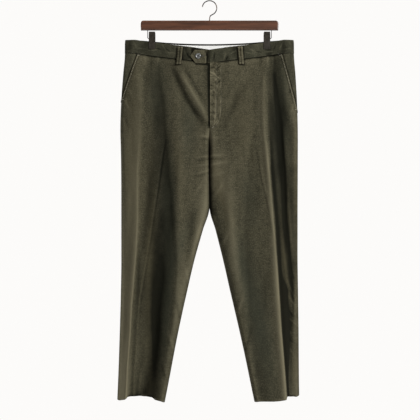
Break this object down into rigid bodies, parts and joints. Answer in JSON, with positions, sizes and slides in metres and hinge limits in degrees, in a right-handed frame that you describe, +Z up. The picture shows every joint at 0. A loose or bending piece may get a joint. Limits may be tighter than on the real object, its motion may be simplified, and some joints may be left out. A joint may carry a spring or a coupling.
{
  "type": "corduroy trousers on clip hanger",
  "caption": "Straight-leg corduroy trousers with slant pockets, belt loops and a pointed button tab, hung by the waist from a wooden clip hanger with a wire hook.",
  "frame": {"origin": "the inner crown of the hanger's hook, where a rail or peg carries it", "axes": "+Z up; the front of the trousers faces -Y; the wearer's left is at +X"},
  "size_m": [0.5327, 0.1261, 1.16],
  "materials": {
    "corduroy": "soft needlecord pile",
    "lining": "plain white cotton",
    "button": "grey pearl",
    "bar_wood": "dark stained satin",
    "hook_metal": "dark bronze wire",
    "clip_metal": "dark brown satin"
  },
  "bodies": {
    "root": {"front_panel_right": "corduroy", "front_panel_left": "corduroy", "back_panel_right": "corduroy", "back_panel_left": "corduroy", "pocket_facing_right": "corduroy", "pocket_facing_left": "corduroy", "fly_placket": "corduroy", "waistband_front_right": "corduroy", "waistband_front_left": "corduroy", "waistband_back": "corduroy", "waistband_lining": "lining", "extension_tab": "corduroy", "waist_button": "button", "belt_loop_front_right": "corduroy", "belt_loop_front_left": "corduroy", "belt_loop_back_right": "corduroy", "belt_loop_back_left": "corduroy", "belt_loop_back_centre": "corduroy", "hanger_bar": "bar_wood", "hanger_hook": "hook_metal", "clip_right_front_jaw": "clip_metal", "clip_right_back_jaw": "clip_metal", "clip_right_barrel": "clip_metal", "clip_right_link": "hook_metal", "clip_left_front_jaw": "clip_metal", "clip_left_back_jaw": "clip_metal", "clip_left_barrel": "clip_metal", "clip_left_link": "hook_metal"}
  },
  "joints": []
}
